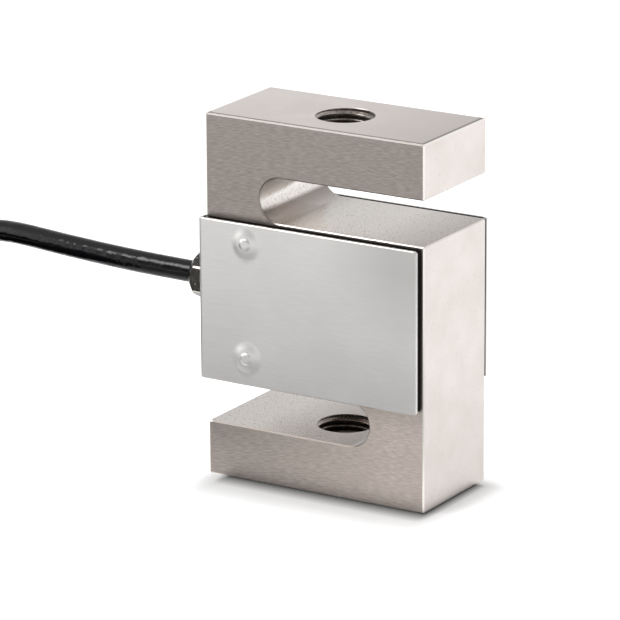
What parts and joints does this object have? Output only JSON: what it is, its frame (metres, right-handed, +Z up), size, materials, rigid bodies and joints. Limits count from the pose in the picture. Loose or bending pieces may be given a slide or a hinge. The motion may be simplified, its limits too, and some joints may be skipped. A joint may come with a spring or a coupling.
{
  "type": "s type load cell",
  "caption": "S-shaped steel load cell with threaded arms, a gauged cavity under sealed sheet covers, a cable gland and a screened cable wound into a tied coil.",
  "frame": {"origin": "middle of the spring element's bottom face", "axes": "+Z up along the load axis, +X towards the side where the upper slot opens (the cable leaves at -X), -Y towards the front cover"},
  "size_m": [0.1764, 0.0656, 0.0762],
  "materials": {
    "plated_steel": "satin nickel plate over milled steel",
    "cover_sheet": "satin rolled stainless sheet",
    "gasket_rubber": "black rubber, matte",
    "stud_steel": "turned steel",
    "gauge_film": "amber film with foil",
    "board_laminate": "green laminate",
    "tin_solder": "tin solder",
    "resistor_body": "black chip",
    "enamelled_wire": "enamelled copper",
    "gland_metal": "dark nickel, turned",
    "seal_rubber": "black rubber",
    "washer_metal": "turned brass",
    "cable_jacket": "glossy black jacket",
    "tie_nylon": "black nylon",
    "shrink_sleeve": "shrunk sleeve",
    "insulation_red": "extruded insulation",
    "insulation_black": "extruded insulation",
    "insulation_green": "extruded insulation",
    "insulation_white": "extruded insulation",
    "tinned_copper": "tinned strands"
  },
  "bodies": {
    "root": {"cable": "cable_jacket", "cable_coil": "cable_jacket", "cable_retainer": "washer_metal", "coil_tie_far": "tie_nylon", "coil_tie_near": "tie_nylon", "core_black": "insulation_black", "core_green": "insulation_green", "core_red": "insulation_red", "core_white": "insulation_white", "drain_wire": "tinned_copper", "end_sleeve": "shrink_sleeve", "front_cover": "cover_sheet", "front_cover_studs": "stud_steel", "front_gasket": "gasket_rubber", "gauge_wires": "enamelled_wire", "gland_body": "gland_metal", "gland_nut": "gland_metal", "gland_o_ring": "seal_rubber", "gland_seal": "seal_rubber", "gland_washer": "washer_metal", "lead_black": "insulation_black", "lead_green": "insulation_green", "lead_red": "insulation_red", "lead_strands": "tinned_copper", "lead_white": "insulation_white", "rear_cover": "cover_sheet", "rear_cover_studs": "stud_steel", "rear_gasket": "gasket_rubber", "solder_terminals": "tin_solder", "spring_element": "plated_steel", "strain_gauge_lower_left": "gauge_film", "strain_gauge_lower_right": "gauge_film", "strain_gauge_upper_left": "gauge_film", "strain_gauge_upper_right": "gauge_film", "terminal_board": "board_laminate", "trim_resistors": "resistor_body"}
  },
  "joints": []
}
